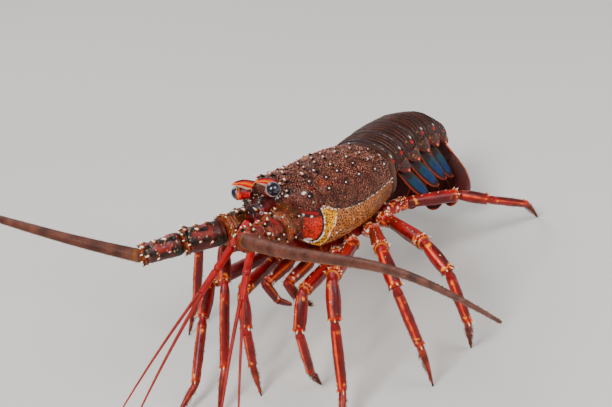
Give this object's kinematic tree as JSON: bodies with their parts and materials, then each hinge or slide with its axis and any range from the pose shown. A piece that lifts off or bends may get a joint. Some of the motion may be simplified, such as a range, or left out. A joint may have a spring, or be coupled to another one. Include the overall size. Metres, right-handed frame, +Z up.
{
  "type": "spiny lobster",
  "caption": "Life-size still model of a spiny lobster standing on its legs, with horns over the eyes, long spiny antennae, a ringed abdomen and a tail fan tucked under.",
  "frame": {"origin": "on the floor, at the middle of the model's box, antennae included", "axes": "+Z up, -Y the way the head points, +X to the animal's left"},
  "size_m": [0.4854, 0.3286, 0.1778],
  "materials": {
    "carapace_shell": "dark maroon shell with a fine pale speckle, moist satin",
    "abdomen_shell": "dark maroon-brown shell with fine paler ridges, moist satin",
    "underside": "pale orange-brown shell, satin",
    "horn": "orange-red horn with a yellow stripe, satin",
    "eye": "dark slate eye, wet gloss",
    "antenna_shell": "crimson shell with pale spine tips, satin",
    "lash": "red-brown ringed whip, matt",
    "feeler": "orange-red feeler, satin",
    "mouthpart": "orange and white mouthparts, satin",
    "leg": "crimson shell with an orange stripe, satin",
    "tail_fan": "soft red-brown fan with an orange rim, matt"
  },
  "bodies": {
    "root": {"carapace": "carapace_shell", "sternum": "underside", "abdomen_1": "abdomen_shell", "abdomen_2": "abdomen_shell", "abdomen_3": "abdomen_shell", "abdomen_4": "abdomen_shell", "abdomen_5": "abdomen_shell", "abdomen_6": "abdomen_shell", "telson": "tail_fan", "uropod_inner_left": "tail_fan", "uropod_inner_right": "tail_fan", "uropod_outer_left": "tail_fan", "uropod_outer_right": "tail_fan", "horn_left": "horn", "horn_right": "horn", "eye_left": "eye", "eye_right": "eye", "antennular_plate": "antenna_shell", "antenna_left_base": "antenna_shell", "antenna_left_middle": "antenna_shell", "antenna_left_end": "antenna_shell", "antenna_left_lash_near": "lash", "antenna_left_lash_far": "lash", "antenna_right_base": "antenna_shell", "antenna_right_middle": "antenna_shell", "antenna_right_end": "antenna_shell", "antenna_right_lash_near": "lash", "antenna_right_lash_far": "lash", "antennule_left_stalk": "feeler", "antennule_left_outer": "feeler", "antennule_left_inner": "feeler", "antennule_right_stalk": "feeler", "antennule_right_outer": "feeler", "antennule_right_inner": "feeler", "mouth": "mouthpart", "maxilliped_left": "mouthpart", "maxilliped_right": "mouthpart", "leg_left_1_upper": "leg", "leg_left_1_lower": "leg", "leg_left_2_upper": "leg", "leg_left_2_lower": "leg", "leg_left_3_upper": "leg", "leg_left_3_lower": "leg", "leg_left_4_upper": "leg", "leg_left_4_lower": "leg", "leg_left_5_upper": "leg", "leg_left_5_lower": "leg", "leg_right_1_upper": "leg", "leg_right_1_lower": "leg", "leg_right_2_upper": "leg", "leg_right_2_lower": "leg", "leg_right_3_upper": "leg", "leg_right_3_lower": "leg", "leg_right_4_upper": "leg", "leg_right_4_lower": "leg", "leg_right_5_upper": "leg", "leg_right_5_lower": "leg"}
  },
  "joints": []
}
